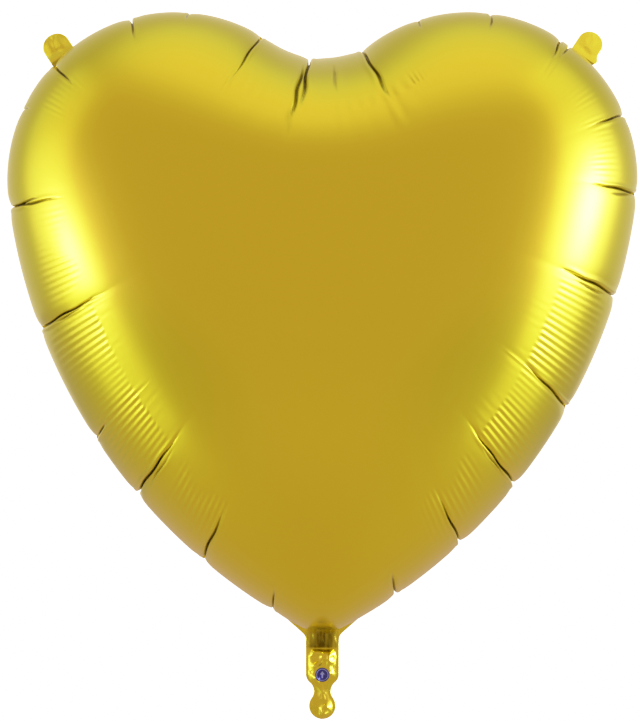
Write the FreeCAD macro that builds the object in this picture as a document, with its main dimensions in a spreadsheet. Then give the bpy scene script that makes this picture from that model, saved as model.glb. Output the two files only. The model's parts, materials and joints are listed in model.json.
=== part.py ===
import FreeCAD, Part
import Sketcher
import math
import os
import re

# A heart-shaped foil balloon, upright and facing -Y, with +Z up. Two metallised films are welded
# together round their rims. A flat neck with a narrow waist hangs below the heart, and two rounded
# hanging tabs stand on its shoulders. The origin is the middle of the waist, where a ribbon is tied.
# Every film is drawn thicker than the real one, so that it stays a closed solid.

DOC = FreeCAD.newDocument("foil_heart_balloon")

# ---------------------------------------------------------------- driving dimensions, in mm

SIZES = [
    ("lobe_radius", 165.0, "radius of each lobe of the inflated heart"),
    ("lobe_offset", 143.5, "lobe centre from the middle plane"),
    ("lobe_height", 500.0, "lobe centre above the waist"),
    ("side_radius", 550.0, "radius of the long flanks"),
    ("side_start", 7.2, "degrees below the horizontal where lobe and flank meet"),
    ("notch_radius", 87.0, "hollow between the lobes"),
    ("film", 1.0, "drawn thickness of one outer film"),
    ("weld_width", 5.0, "width of the welded rim"),
    ("dome_run", 150.0, "how far each panel takes to curve over from rim to crown"),
    ("dome_depth", 165.0, "how far each panel stands out from the weld plane"),
    ("dome_tip_half_width", 13.0, "half width of the inflated heart's lower tip"),
    ("fold_height", 42.0, "neck fold line above the waist"),
    ("neck_half_width", 16.2, "half width of the flat neck"),
    ("neck_corner_radius", 11.0, "rounded lower corners of the neck"),
    ("neck_root_radius", 9.0, "hollow corners where the neck leaves the heart"),
    ("waist_half_width", 8.3, "half width at the waist"),
    ("waist_radius", 11.2, "hollow of the waist"),
    ("tail_radius", 13.0, "rounded end below the waist"),
    ("tab_half_width", 12.5, "half width and end radius of a hanging tab"),
    ("tab_length", 12.0, "straight part of a tab, from its fold line"),
    ("tab_position", 48.0, "degrees round the lobe, from the horizontal, to a tab"),
    ("tab_direction", 34.0, "degrees from the vertical that a tab points"),
    ("tab_fold_offset", 4.0, "tab fold line beyond the heart's rim"),
    ("tab_root_depth", 9.0, "how far a tab's root reaches into the rim"),
    ("fold_clearance", 0.1, "running clearance at a fold line"),
    ("fold_round", 0.98, "rounding of a folding film's edge, just under its thickness"),
    ("valve_film", 0.25, "drawn thickness of one valve film"),
    ("valve_recess", 0.3, "room in each outer film for the valve"),
    ("valve_half_width", 10.0, "half width of the valve films"),
    ("valve_bottom", 8.0, "lower edge of the valve above the waist"),
    ("valve_top", 150.0, "upper, free edge of the valve inside the heart"),
    ("channel_half_width", 6.0, "half width of the air channel and of the mouth"),
    ("print_top", 84.0, "upper end of the release print on the valve"),
    ("badge_radius", 7.0, "printed badge on the neck"),
    ("badge_height", 16.3, "badge centre above the waist"),
    ("badge_film", 0.2, "drawn thickness of the badge"),
]
DOME_STEPS = 8

sheet = DOC.addObject("Spreadsheet::Sheet", "Sizes")
for row, (alias, number, note) in enumerate(SIZES, 1):
    sheet.set(f"A{row}", note)
    sheet.set(f"B{row}", str(number))
    sheet.setAlias(f"B{row}", alias)
DOC.recompute()


ALIASES = {alias for alias, _, _ in SIZES}


def expression(formula):
    """The same formula with each alias written as a cell of the sheet."""
    return re.sub(r"[a-z_]+", lambda m: "Sizes." + m[0] if m[0] in ALIASES else m[0], formula)


def value(formula):
    """The number that a formula of aliases gives now."""
    return float(sheet.evalExpression(expression(formula)))


# ---------------------------------------------------------------- helpers

SUBPARTS = []


def labelled(thing, label):
    """Names a finished sub-part and puts it on the list that is written out."""
    thing.Label = label
    SUBPARTS.append(thing)
    return thing


def new_body(label):
    return labelled(DOC.addObject("PartDesign::Body", label + "_body"), label)


def weld_plane(body):
    """The body's own XZ plane, whose normal is -Y."""
    return next(f for f in body.Origin.OriginFeatures if f.Role == "XZ_Plane")


def middle_plane(body):
    return next(f for f in body.Origin.OriginFeatures if f.Role == "YZ_Plane")


def new_sketch(body, name, level="0"):
    """A sketch parallel to the weld plane. A positive level lies in front of it, towards -Y."""
    sketch = body.newObject("Sketcher::SketchObject", name)
    sketch.AttachmentSupport = [(weld_plane(body), "")]
    sketch.MapMode = "FlatFace"
    sketch.setExpression("AttachmentOffset.Base.z", expression(level))
    return sketch


def line(sketch, start, end):
    return sketch.addGeometry(
        Part.LineSegment(FreeCAD.Vector(*start, 0), FreeCAD.Vector(*end, 0)), False
    )


def arc(sketch, centre, radius, start, end):
    """An arc that runs anticlockwise from one angle to the other, in radians."""
    circle = Part.Circle(FreeCAD.Vector(*centre, 0), FreeCAD.Vector(0, 0, 1), radius)
    return sketch.addGeometry(Part.ArcOfCircle(circle, start, end), False)


def join(sketch, first, first_end, second, second_end, kind="Coincident"):
    sketch.addConstraint(Sketcher.Constraint(kind, first, first_end, second, second_end))


def size_of(sketch, kind, words, *where):
    """A dimension bound to a formula of the sheet's aliases."""
    index = sketch.addConstraint(Sketcher.Constraint(kind, *where, value(words)))
    sketch.setExpression(f"Constraints[{index}]", expression(words))


START, END, CENTRE = 1, 2, 3
ORIGIN = (-1, 1)
ACROSS, UPRIGHT = -1, -2


def pad(body, sketch, thickness, rear):
    """A film of one thickness, in front of the weld plane or behind it."""
    feature = body.newObject("PartDesign::Pad", sketch.Name + "_pad")
    feature.Profile = sketch
    feature.setExpression("Length", expression(thickness))
    feature.Reversed = rear
    return feature


def recess(body, sketch, depth, rear):
    """A shallow pocket in the face that lies on the weld plane. It has to take material away."""
    DOC.recompute()
    before = body.Shape.Volume
    feature = body.newObject("PartDesign::Pocket", sketch.Name + "_recess")
    feature.Profile = sketch
    feature.setExpression("Length", expression(depth))
    feature.Reversed = not rear
    DOC.recompute()
    if body.Shape.Volume >= before:
        raise RuntimeError(f"{feature.Name} removed nothing")
    return feature


def mirrored(body, features):
    """The other half of a film that is the same on both sides of the middle plane."""
    mirror = body.newObject("PartDesign::Mirrored", body.Name + "_mirror")
    mirror.Originals = features
    mirror.MirrorPlane = (middle_plane(body), [""])
    body.Tip = mirror
    return mirror


def edges_where(shape, test):
    """Names of the straight edges whose middle point passes the test."""
    return [
        f"Edge{number}"
        for number, edge in enumerate(shape.Edges, 1)
        if edge.Curve.TypeId == "Part::GeomLine" and test(edge.CenterOfMass, edge)
    ]


def rounded(body, test, radius):
    """Rounds the straight edges that pass the test."""
    DOC.recompute()
    base = body.Tip
    names = edges_where(base.Shape, test)
    if not names:
        raise RuntimeError(f"{body.Label} has no such edge to round")
    feature = body.newObject("PartDesign::Fillet", body.Name + "_round")
    feature.Base = (base, names)
    feature.setExpression("Radius", expression(radius))
    return feature


def round_fold_edge(body, height):
    """Rounds the outer edge of a folding film's root about its fold line, half a turn for both films."""
    thickness = value("film")

    def is_outer_root(middle, edge):
        return (
            abs(abs(middle.y) - thickness) < 1e-3
            and abs(middle.z - height) < 1e-3
            and edge.Length > thickness * 2
        )

    return rounded(body, is_outer_root, "fold_round")


# ---------------------------------------------------------------- heart outline

SIDE_CENTRE = "(side_radius - lobe_radius) * cos(side_start) - lobe_offset"


def heart_arcs(sketch, inset, tip_half_width):
    """Notch, lobes and flanks, moved inwards by the inset. Their centres stay where they are."""
    offset, height = value("lobe_offset"), value("lobe_height")
    lobe, side = value(f"lobe_radius - ({inset})"), value(f"side_radius - ({inset})")
    notch, start = value(f"notch_radius + ({inset})"), math.radians(value("side_start"))
    rise = math.sqrt((lobe + notch) ** 2 - offset**2)
    towards_notch = math.atan2(rise, -offset)
    side_x = -value(SIDE_CENTRE)
    side_z = height + (side - lobe) * math.sin(start)
    tip = value(tip_half_width)
    tip_angle = -math.acos((tip - side_x) / side)

    notch_arc = arc(sketch, (0, height + rise), notch, math.atan2(-rise, -offset), math.atan2(-rise, offset))
    right_lobe = arc(sketch, (offset, height), lobe, -start, towards_notch)
    left_lobe = arc(sketch, (-offset, height), lobe, math.pi - towards_notch, math.pi + start)
    right_side = arc(sketch, (side_x, side_z), side, tip_angle, -start)
    left_side = arc(sketch, (-side_x, side_z), side, math.pi + start, math.pi - tip_angle)

    join(sketch, notch_arc, START, left_lobe, START, "Tangent")
    join(sketch, notch_arc, END, right_lobe, END, "Tangent")
    join(sketch, right_lobe, START, right_side, END, "Tangent")
    join(sketch, left_lobe, END, left_side, START, "Tangent")
    sketch.addConstraint(Sketcher.Constraint("Equal", right_lobe, left_lobe))
    sketch.addConstraint(Sketcher.Constraint("Equal", right_side, left_side))
    sketch.addConstraint(Sketcher.Constraint("Symmetric", right_lobe, CENTRE, left_lobe, CENTRE, UPRIGHT))
    size_of(sketch, "DistanceX", "lobe_offset", *ORIGIN, right_lobe, CENTRE)
    size_of(sketch, "DistanceY", "lobe_height", *ORIGIN, right_lobe, CENTRE)
    size_of(sketch, "DistanceX", SIDE_CENTRE, right_side, CENTRE, *ORIGIN)
    size_of(sketch, "DistanceX", SIDE_CENTRE, *ORIGIN, left_side, CENTRE)
    size_of(sketch, "Radius", f"lobe_radius - ({inset})", right_lobe)
    size_of(sketch, "Radius", f"side_radius - ({inset})", right_side)
    size_of(sketch, "Radius", f"notch_radius + ({inset})", notch_arc)
    return right_side, left_side, (tip, side_z + side * math.sin(tip_angle))


def heart_section(body, name, inset, level, tip_half_width):
    """A closed heart at one level, with a short flat tip."""
    sketch = new_sketch(body, name, level)
    right_side, left_side, (tip_x, tip_z) = heart_arcs(sketch, inset, tip_half_width)
    tip = line(sketch, (-tip_x, tip_z), (tip_x, tip_z))
    join(sketch, left_side, END, tip, START)
    join(sketch, right_side, START, tip, END)
    size_of(sketch, "DistanceX", tip_half_width, *ORIGIN, tip, END)
    size_of(sketch, "DistanceX", tip_half_width, tip, START, *ORIGIN)
    return sketch


def heart_with_neck_root(body, name):
    """The welded rim's outline: the heart and the flat web that runs down to the neck's fold line."""
    sketch = new_sketch(body, name)
    right_side, left_side, (root_x, root_z) = heart_arcs(sketch, "0", "neck_half_width")
    fold = value("fold_height + film + fold_clearance")
    right = line(sketch, (root_x, root_z), (root_x, fold))
    bottom = line(sketch, (root_x, fold), (-root_x, fold))
    left = line(sketch, (-root_x, fold), (-root_x, root_z))
    join(sketch, right_side, START, right, START)
    join(sketch, right, END, bottom, START)
    join(sketch, bottom, END, left, START)
    join(sketch, left, END, left_side, END)
    sketch.addConstraint(Sketcher.Constraint("Vertical", right))
    sketch.addConstraint(Sketcher.Constraint("Horizontal", bottom))
    sketch.addConstraint(Sketcher.Constraint("Vertical", left))
    size_of(sketch, "DistanceX", "neck_half_width", *ORIGIN, bottom, START)
    size_of(sketch, "DistanceX", "neck_half_width", bottom, END, *ORIGIN)
    size_of(sketch, "DistanceY", "fold_height + film + fold_clearance", *ORIGIN, bottom, START)
    return sketch


# ---------------------------------------------------------------- front and rear panels


def dome(body, kind, name, inset, depth, tip_half_width, rear):
    """Heart sections that follow a quarter round from the rim to the crown, joined level by level."""
    sections = []
    sign = "-1 * " if rear else "1 * "
    for step in range(DOME_STEPS + 1):
        turn = math.pi / 2 * step / DOME_STEPS
        run = f"{inset} + dome_run * {1 - math.cos(turn):.6f}"
        level = f"{sign} ({depth}) * {math.sin(turn):.6f}"
        sections.append(heart_section(body, f"{name}_{step}", run, level, tip_half_width))
    loft = body.newObject(kind, name)
    loft.Profile = sections[0]
    loft.Sections = sections[1:]
    loft.Ruled = True
    loft.Closed = False
    return loft


def tab_roots(body, name, rear):
    """The two short ends of film on the rim that the hanging tabs fold from."""
    half, inner = value("tab_half_width"), value("tab_root_depth")
    outer = value("film + fold_clearance")
    reach = value("lobe_radius + tab_fold_offset")
    position, direction = math.radians(value("tab_position")), math.radians(value("tab_direction"))
    for side_name, side in (("right", 1), ("left", -1)):
        fold = FreeCAD.Vector(
            side * (value("lobe_offset") + reach * math.cos(position)),
            value("lobe_height") + reach * math.sin(position),
            0,
        )
        along = FreeCAD.Vector(side * math.sin(direction), math.cos(direction), 0)
        across = FreeCAD.Vector(along.y, -along.x, 0)
        corners = [
            fold - along * near + across * far
            for near, far in ((outer, half), (outer, -half), (inner, -half), (inner, half))
        ]
        sketch = new_sketch(body, f"{name}_{side_name}")
        for first, second in zip(corners, corners[1:] + corners[:1]):
            sketch.addGeometry(Part.LineSegment(first, second), False)
        for number in range(4):
            join(sketch, number, END, (number + 1) % 4, START)
            sketch.addConstraint(Sketcher.Constraint("Block", number))
        pad(body, sketch, "film", rear)


def panel(label, rear):
    """One outer film of the heart: a welded rim, the neck's web, the tab roots and the inflated dome."""
    body = new_body(label)
    rim = heart_with_neck_root(body, label + "_rim")
    pad(body, rim, "film", rear)
    root_half = value("neck_half_width")

    def is_neck_root(middle, edge):
        upright = abs(edge.tangentAt(edge.FirstParameter).y) > 0.99
        return upright and abs(abs(middle.x) - root_half) < 1e-3 and middle.z > value("fold_height + 5")

    rounded(body, is_neck_root, "neck_root_radius")
    tab_roots(body, label + "_tab_root", rear)
    dome(
        body,
        "PartDesign::AdditiveLoft",
        label + "_dome",
        "weld_width",
        "dome_depth",
        "dome_tip_half_width",
        rear,
    )
    DOC.recompute()
    solid_volume = body.Shape.Volume
    dome(
        body,
        "PartDesign::SubtractiveLoft",
        label + "_inside",
        "weld_width + film",
        "dome_depth - film",
        "dome_tip_half_width - film",
        rear,
    )
    DOC.recompute()
    if body.Shape.Volume > solid_volume / 4:
        raise RuntimeError(f"{label} was not hollowed")
    channel = box_sketch(
        body,
        label + "_valve_channel",
        "valve_half_width",
        "fold_height - film",
        "fold_height + 4 * neck_root_radius",
    )
    recess(body, channel, "valve_recess", rear)
    return body


def box_sketch(body, name, half_width, low, high):
    """A rectangle about the middle plane, between two heights."""
    half, bottom, top = value(half_width), value(low), value(high)
    sketch = new_sketch(body, name)
    corners = [(-half, bottom), (half, bottom), (half, top), (-half, top)]
    sides = [line(sketch, a, b) for a, b in zip(corners, corners[1:] + corners[:1])]
    for number in range(4):
        join(sketch, sides[number], END, sides[(number + 1) % 4], START)
    for number, kind in enumerate(("Horizontal", "Vertical", "Horizontal", "Vertical")):
        sketch.addConstraint(Sketcher.Constraint(kind, sides[number]))
    size_of(sketch, "DistanceX", half_width, *ORIGIN, sides[0], END)
    size_of(sketch, "DistanceX", half_width, sides[0], START, *ORIGIN)
    size_of(sketch, "DistanceY", low, *ORIGIN, sides[0], START)
    size_of(sketch, "DistanceY", high, *ORIGIN, sides[2], START)
    return sketch


# ---------------------------------------------------------------- neck, between fold line and waist


def neck_ply(label, rear):
    """Half the neck: straight sides, rounded lower corners and the upper half of the waist."""
    body = new_body(label)
    sketch = new_sketch(body, label + "_outline")
    half, corner = value("neck_half_width"), value("neck_corner_radius")
    hollow, hollow_x = value("waist_radius"), value("waist_half_width + waist_radius")
    top, bottom = value("fold_height + film"), value("film + fold_clearance")
    corner_x = half - corner
    corner_z = math.sqrt((corner + hollow) ** 2 - (hollow_x - corner_x) ** 2)
    meeting = math.atan2(corner_z, corner_x - hollow_x)
    end_angle = math.pi - math.asin(bottom / hollow)
    bottom_x = hollow_x + hollow * math.cos(end_angle)

    waist = arc(sketch, (hollow_x, 0), hollow, meeting, end_angle)
    shoulder = arc(sketch, (corner_x, corner_z), corner, meeting - math.pi, 0)
    side = line(sketch, (half, corner_z), (half, top))
    upper = line(sketch, (half, top), (0, top))
    middle = line(sketch, (0, top), (0, bottom))
    lower = line(sketch, (0, bottom), (bottom_x, bottom))
    join(sketch, waist, START, shoulder, START, "Tangent")
    join(sketch, shoulder, END, side, START, "Tangent")
    join(sketch, side, END, upper, START)
    join(sketch, upper, END, middle, START)
    join(sketch, middle, END, lower, START)
    join(sketch, lower, END, waist, END)
    sketch.addConstraint(Sketcher.Constraint("Vertical", side))
    sketch.addConstraint(Sketcher.Constraint("Horizontal", upper))
    sketch.addConstraint(Sketcher.Constraint("Horizontal", lower))
    sketch.addConstraint(Sketcher.Constraint("PointOnObject", middle, START, UPRIGHT))
    sketch.addConstraint(Sketcher.Constraint("PointOnObject", middle, END, UPRIGHT))
    sketch.addConstraint(Sketcher.Constraint("PointOnObject", waist, CENTRE, ACROSS))
    size_of(sketch, "DistanceX", "waist_half_width + waist_radius", *ORIGIN, waist, CENTRE)
    size_of(sketch, "Radius", "waist_radius", waist)
    size_of(sketch, "Radius", "neck_corner_radius", shoulder)
    size_of(sketch, "DistanceX", "neck_half_width", *ORIGIN, side, END)
    size_of(sketch, "DistanceY", "fold_height + film", *ORIGIN, side, END)
    size_of(sketch, "DistanceY", "film + fold_clearance", *ORIGIN, lower, START)
    mirrored(body, [pad(body, sketch, "film", rear)])
    round_fold_edge(body, value("fold_height + film"))
    pocket = box_sketch(body, label + "_valve", "valve_half_width", "valve_bottom", "fold_height + 2 * film")
    recess(body, pocket, "valve_recess", rear)
    channel = box_sketch(body, label + "_channel", "channel_half_width", "0", "valve_bottom + film")
    recess(body, channel, "valve_recess", rear)
    return body


# ---------------------------------------------------------------- tail end, below the waist


def tail_ply(label, rear):
    """The rounded end that stops a ribbon slipping off, with the mouth between its two films."""
    body = new_body(label)
    sketch = new_sketch(body, label + "_outline")
    half, top, bulb = value("waist_half_width"), value("film"), value("tail_radius")
    hollow, hollow_x = value("waist_radius"), value("waist_half_width + waist_radius")
    bulb_z = -math.sqrt((bulb + hollow) ** 2 - hollow_x**2)
    meeting = math.atan2(-bulb_z, hollow_x)

    upper = line(sketch, (0, top), (half, top))
    side = line(sketch, (half, top), (half, 0))
    waist = arc(sketch, (hollow_x, 0), hollow, math.pi, math.pi + meeting)
    end = arc(sketch, (0, bulb_z), bulb, -math.pi / 2, meeting)
    middle = line(sketch, (0, bulb_z - bulb), (0, top))
    join(sketch, upper, END, side, START)
    join(sketch, side, END, waist, START, "Tangent")
    join(sketch, waist, END, end, END, "Tangent")
    join(sketch, end, START, middle, START)
    join(sketch, middle, END, upper, START)
    sketch.addConstraint(Sketcher.Constraint("Horizontal", upper))
    sketch.addConstraint(Sketcher.Constraint("Vertical", side))
    sketch.addConstraint(Sketcher.Constraint("PointOnObject", upper, START, UPRIGHT))
    sketch.addConstraint(Sketcher.Constraint("PointOnObject", end, START, UPRIGHT))
    sketch.addConstraint(Sketcher.Constraint("PointOnObject", end, CENTRE, UPRIGHT))
    sketch.addConstraint(Sketcher.Constraint("PointOnObject", waist, CENTRE, ACROSS))
    size_of(sketch, "DistanceX", "waist_half_width", *ORIGIN, upper, END)
    size_of(sketch, "DistanceY", "film", *ORIGIN, upper, END)
    size_of(sketch, "Radius", "waist_radius", waist)
    size_of(sketch, "Radius", "tail_radius", end)
    mirrored(body, [pad(body, sketch, "film", rear)])
    round_fold_edge(body, value("film"))
    mouth = box_sketch(body, label + "_mouth", "channel_half_width", "-3 * tail_radius", "2 * film")
    recess(body, mouth, "valve_recess", rear)
    return body


# ---------------------------------------------------------------- hanging tabs


def tab_ply(label, side, rear):
    """A tab of constant width with a half-round end. Its own origin is on its fold line."""
    body = new_body(label)
    sketch = new_sketch(body, label + "_outline")
    half, length, root = value("tab_half_width"), value("tab_length"), -value("film")
    lower = line(sketch, (0, root), (half, root))
    edge = line(sketch, (half, root), (half, length))
    end = arc(sketch, (0, length), half, 0, math.pi / 2)
    middle = line(sketch, (0, length + half), (0, root))
    join(sketch, lower, END, edge, START)
    join(sketch, edge, END, end, START, "Tangent")
    join(sketch, end, END, middle, START)
    join(sketch, middle, END, lower, START)
    sketch.addConstraint(Sketcher.Constraint("Horizontal", lower))
    sketch.addConstraint(Sketcher.Constraint("Vertical", edge))
    sketch.addConstraint(Sketcher.Constraint("PointOnObject", lower, START, UPRIGHT))
    sketch.addConstraint(Sketcher.Constraint("PointOnObject", end, CENTRE, UPRIGHT))
    sketch.addConstraint(Sketcher.Constraint("PointOnObject", end, END, UPRIGHT))
    size_of(sketch, "DistanceX", "tab_half_width", *ORIGIN, lower, END)
    size_of(sketch, "DistanceY", "film", lower, START, *ORIGIN)
    size_of(sketch, "DistanceY", "tab_length", *ORIGIN, end, CENTRE)
    mirrored(body, [pad(body, sketch, "film", rear)])
    round_fold_edge(body, root)
    body.Placement = FreeCAD.Placement(FreeCAD.Vector(), FreeCAD.Rotation(FreeCAD.Vector(0, side, 0), 1))
    reach = "(lobe_radius + tab_fold_offset)"
    sign = "" if side > 0 else "-1 * "
    body.setExpression("Placement.Base.x", expression(f"{sign}(lobe_offset + {reach} * cos(tab_position))"))
    body.setExpression("Placement.Base.z", expression(f"lobe_height + {reach} * sin(tab_position)"))
    body.setExpression("Placement.Rotation.Angle", expression("tab_direction"))
    return body


# ---------------------------------------------------------------- valve and badge


def film_strip(label, half_width, low, high, near, far):
    """A thin strip about the middle plane. Near and far are its two faces along Y."""
    strip = labelled(DOC.addObject("Part::Box", label + "_box"), label)
    strip.setExpression("Length", expression(f"2 * {half_width}"))
    strip.setExpression("Width", expression(f"{far} - ({near})"))
    strip.setExpression("Height", expression(f"{high} - ({low})"))
    strip.setExpression("Placement.Base.x", expression(f"-1 * {half_width}"))
    strip.setExpression("Placement.Base.y", expression(near))
    strip.setExpression("Placement.Base.z", expression(low))
    return strip


def badge(label):
    """The round printed mark on the front of the neck."""
    disc = labelled(DOC.addObject("Part::Cylinder", label + "_disc"), label)
    disc.Placement = FreeCAD.Placement(FreeCAD.Vector(), FreeCAD.Rotation(FreeCAD.Vector(1, 0, 0), 90))
    disc.setExpression("Radius", expression("badge_radius"))
    disc.setExpression("Height", expression("badge_film"))
    disc.setExpression("Placement.Base.y", expression("-1 * film"))
    disc.setExpression("Placement.Base.z", expression("badge_height"))
    return disc


# ---------------------------------------------------------------- the whole balloon

panel("front_panel", rear=False)
panel("rear_panel", rear=True)
neck_ply("neck_front_ply", rear=False)
neck_ply("neck_rear_ply", rear=True)
tail_ply("tail_end_front_ply", rear=False)
tail_ply("tail_end_rear_ply", rear=True)
for tab_side, turn_axis in (("left", -1), ("right", 1)):
    tab_ply(f"{tab_side}_tab_front_ply", turn_axis, rear=False)
    tab_ply(f"{tab_side}_tab_rear_ply", turn_axis, rear=True)

GAP = "(valve_recess - valve_film)"
FRONT_FILM = ("-1 * valve_recess", f"-1 * {GAP}")
REAR_FILM = (GAP, "valve_recess")
IN_NECK = ("valve_bottom", "fold_height")
IN_HEART = ("fold_height + film + fold_clearance", "valve_top")
film_strip("neck_valve_front_film", "valve_half_width", *IN_NECK, *FRONT_FILM)
film_strip("neck_valve_rear_film", "valve_half_width", *IN_NECK, *REAR_FILM)
film_strip("heart_valve_front_film", "valve_half_width", *IN_HEART, *FRONT_FILM)
film_strip("heart_valve_rear_film", "valve_half_width", *IN_HEART, *REAR_FILM)
film_strip("valve_release_print", "channel_half_width", IN_HEART[0], "print_top", f"-1 * {GAP}", GAP)
badge("neck_badge")
DOC.recompute()

# ---------------------------------------------------------------- check and write

failed = [thing.Name for thing in DOC.Objects if {"Invalid", "Error"} & set(thing.State)]
if failed:
    raise RuntimeError(f"these objects failed: {failed}")
for part in SUBPARTS:
    if part.Shape.isNull() or not part.Shape.isValid() or not part.Shape.Solids:
        raise RuntimeError(f"{part.Label} is not a valid solid")

os.makedirs("parts", exist_ok=True)
for part in SUBPARTS:
    part.Shape.exportStep(os.path.join("parts", part.Label + ".step"))
    box = part.Shape.BoundBox
    extent = f"{box.XLength:.1f} x {box.YLength:.1f} x {box.ZLength:.1f} mm"
    print(f"{part.Label}: {extent}, {part.Shape.Volume:.0f} mm3")
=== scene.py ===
# %% [markdown]
# # A heart-shaped foil balloon
# The real balloon is two sheets of gold film, welded together round their rims and blown up
# through a flat neck at the bottom. Nothing in it is stiff: the gas pushes the films out, the
# rim has to pull in, and the film that is left over gathers in sharp creases.
# Each film is modelled the same way here. A flat grid is wrapped round the rim in rings, and its
# height comes from how far each point is from the rim. Creases and ripples are sculpted on top.

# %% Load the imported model
import json
import math

import bmesh
import bpy
import numpy as np
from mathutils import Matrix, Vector, noise


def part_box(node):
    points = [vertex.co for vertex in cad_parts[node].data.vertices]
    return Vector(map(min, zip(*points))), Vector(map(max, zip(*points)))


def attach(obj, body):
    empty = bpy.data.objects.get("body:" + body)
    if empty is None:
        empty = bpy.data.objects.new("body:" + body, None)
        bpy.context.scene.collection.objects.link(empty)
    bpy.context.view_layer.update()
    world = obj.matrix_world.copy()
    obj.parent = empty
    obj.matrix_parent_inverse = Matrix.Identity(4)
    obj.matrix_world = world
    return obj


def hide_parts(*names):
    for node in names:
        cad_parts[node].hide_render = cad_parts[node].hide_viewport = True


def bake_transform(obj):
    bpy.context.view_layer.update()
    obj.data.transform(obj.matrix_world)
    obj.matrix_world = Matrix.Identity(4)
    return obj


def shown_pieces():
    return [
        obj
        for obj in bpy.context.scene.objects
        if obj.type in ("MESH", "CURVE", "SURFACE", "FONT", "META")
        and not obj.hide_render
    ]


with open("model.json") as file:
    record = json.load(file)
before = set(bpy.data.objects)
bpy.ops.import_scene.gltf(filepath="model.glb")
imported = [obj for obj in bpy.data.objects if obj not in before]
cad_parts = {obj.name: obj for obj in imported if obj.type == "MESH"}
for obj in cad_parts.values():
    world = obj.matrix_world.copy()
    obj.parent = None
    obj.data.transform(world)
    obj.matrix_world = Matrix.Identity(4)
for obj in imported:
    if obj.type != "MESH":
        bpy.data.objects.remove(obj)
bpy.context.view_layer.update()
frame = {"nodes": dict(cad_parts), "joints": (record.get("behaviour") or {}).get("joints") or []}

MM = 0.001  # all lengths are in metres

# %% [markdown]
# ## The heart's outline
# Half the rim is three arcs that flow into each other: the hollow notch between the lobes, the
# round lobe, and the long flank down to the neck. Arcs are handy here, because a rim moved
# inwards keeps the same arc centres and only changes its radii. The sizes come from the frame.
# Where the neck opens into the heart, the rim moved inwards keeps a mouth that grows narrower:
# 100 mm in, 0.7 of its width is gone.

# %% Sizes of the outline
panel_low, panel_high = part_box("front_panel")
LOBE_RADIUS = 165 * MM
LOBE_X = panel_high.x - LOBE_RADIUS
LOBE_Z = panel_high.z - LOBE_RADIUS
NOTCH_RADIUS = 87 * MM
NOTCH_Z = LOBE_Z + math.sqrt((LOBE_RADIUS + NOTCH_RADIUS) ** 2 - LOBE_X**2)
FLANK_RADIUS = 550 * MM
FLANK_START = math.radians(7.2)
FLANK_X = LOBE_X - (FLANK_RADIUS - LOBE_RADIUS) * math.cos(FLANK_START)
FLANK_Z = LOBE_Z + (FLANK_RADIUS - LOBE_RADIUS) * math.sin(FLANK_START)
NECK_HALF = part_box("neck_front_ply")[1].x
DEPTH = -panel_low.y
MOUTH_CLOSED = 0.7
MOUTH_DEPTH = 0.1

NOTCH_TURN = math.atan2(LOBE_X, NOTCH_Z - LOBE_Z)
LOBE_TURN = math.pi / 2 + NOTCH_TURN + FLANK_START
FLANK_TURN = math.acos((NECK_HALF - FLANK_X) / FLANK_RADIUS) - FLANK_START
NOTCH_RUN = NOTCH_TURN * NOTCH_RADIUS
LOBE_RUN = NOTCH_RUN + LOBE_TURN * LOBE_RADIUS
RIM_RUN = LOBE_RUN + FLANK_TURN * FLANK_RADIUS
HALF_RUN = RIM_RUN + NECK_HALF
print(f"the rim is {2 * RIM_RUN:.3f} m long, from the notch down to the neck on both sides")


# %% A point on the outline
def heart_point(run, inset):
    """The point `run` metres round the rim from the notch, moved inwards by `inset`.

    A positive run goes round the right half and a negative one round the left half. Past the
    end of the flank it goes across the mouth of the neck. Returns x, z and the inward direction.
    """
    side, along = np.where(run < 0, -1.0, 1.0), np.abs(run)
    mouth = NECK_HALF * (1 - MOUTH_CLOSED * np.minimum(inset / MOUTH_DEPTH, 1))
    flank_radius = FLANK_RADIUS - inset
    flank_end = np.arccos((mouth - FLANK_X) / flank_radius)

    notch_angle = -math.pi / 2 + along / NOTCH_RADIUS
    lobe_angle = math.pi / 2 + NOTCH_TURN - (along - NOTCH_RUN) / LOBE_RADIUS
    share = np.clip((along - LOBE_RUN) / (RIM_RUN - LOBE_RUN), 0, 1)
    flank_angle = -(FLANK_START + share * (flank_end - FLANK_START))

    on_notch, on_lobe = along < NOTCH_RUN, along < LOBE_RUN
    angle = np.where(on_notch, notch_angle, np.where(on_lobe, lobe_angle, flank_angle))
    round_radius = np.where(on_lobe, LOBE_RADIUS - inset, flank_radius)
    radius = np.where(on_notch, NOTCH_RADIUS + inset, round_radius)
    centre_x = np.where(on_notch, 0.0, np.where(on_lobe, LOBE_X, FLANK_X))
    centre_z = np.where(on_notch, NOTCH_Z, np.where(on_lobe, LOBE_Z, FLANK_Z))
    x, z = centre_x + radius * np.cos(angle), centre_z + radius * np.sin(angle)
    x = np.where(along > RIM_RUN, mouth * (HALF_RUN - along) / NECK_HALF, x)
    turn = np.where(on_notch, 1.0, -1.0)
    inward_x, inward_z = turn * np.cos(angle), turn * np.sin(angle)
    return side * x, z, side * inward_x, inward_z


# %% [markdown]
# ## How far the gas pushes the film out
# A film can't stretch, so a full foil balloon isn't a ball: it is flat in the middle and turns
# steeply at the rim. Its height depends on how deep inside the outline a point lies. The mean
# distance to the rim, taken in every direction at once, says that smoothly, with no ridge
# where two sides are equally near. The three numbers of SWELL_FIT fit the known shape of a
# round foil balloon.

# %% Mean distance to the rim, and the height that it gives
WELD = 5 * MM
RIM_SAMPLES = 480
BATCH = 8000
SWELL_FIT = (0.949, 0.294, -0.243)


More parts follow.
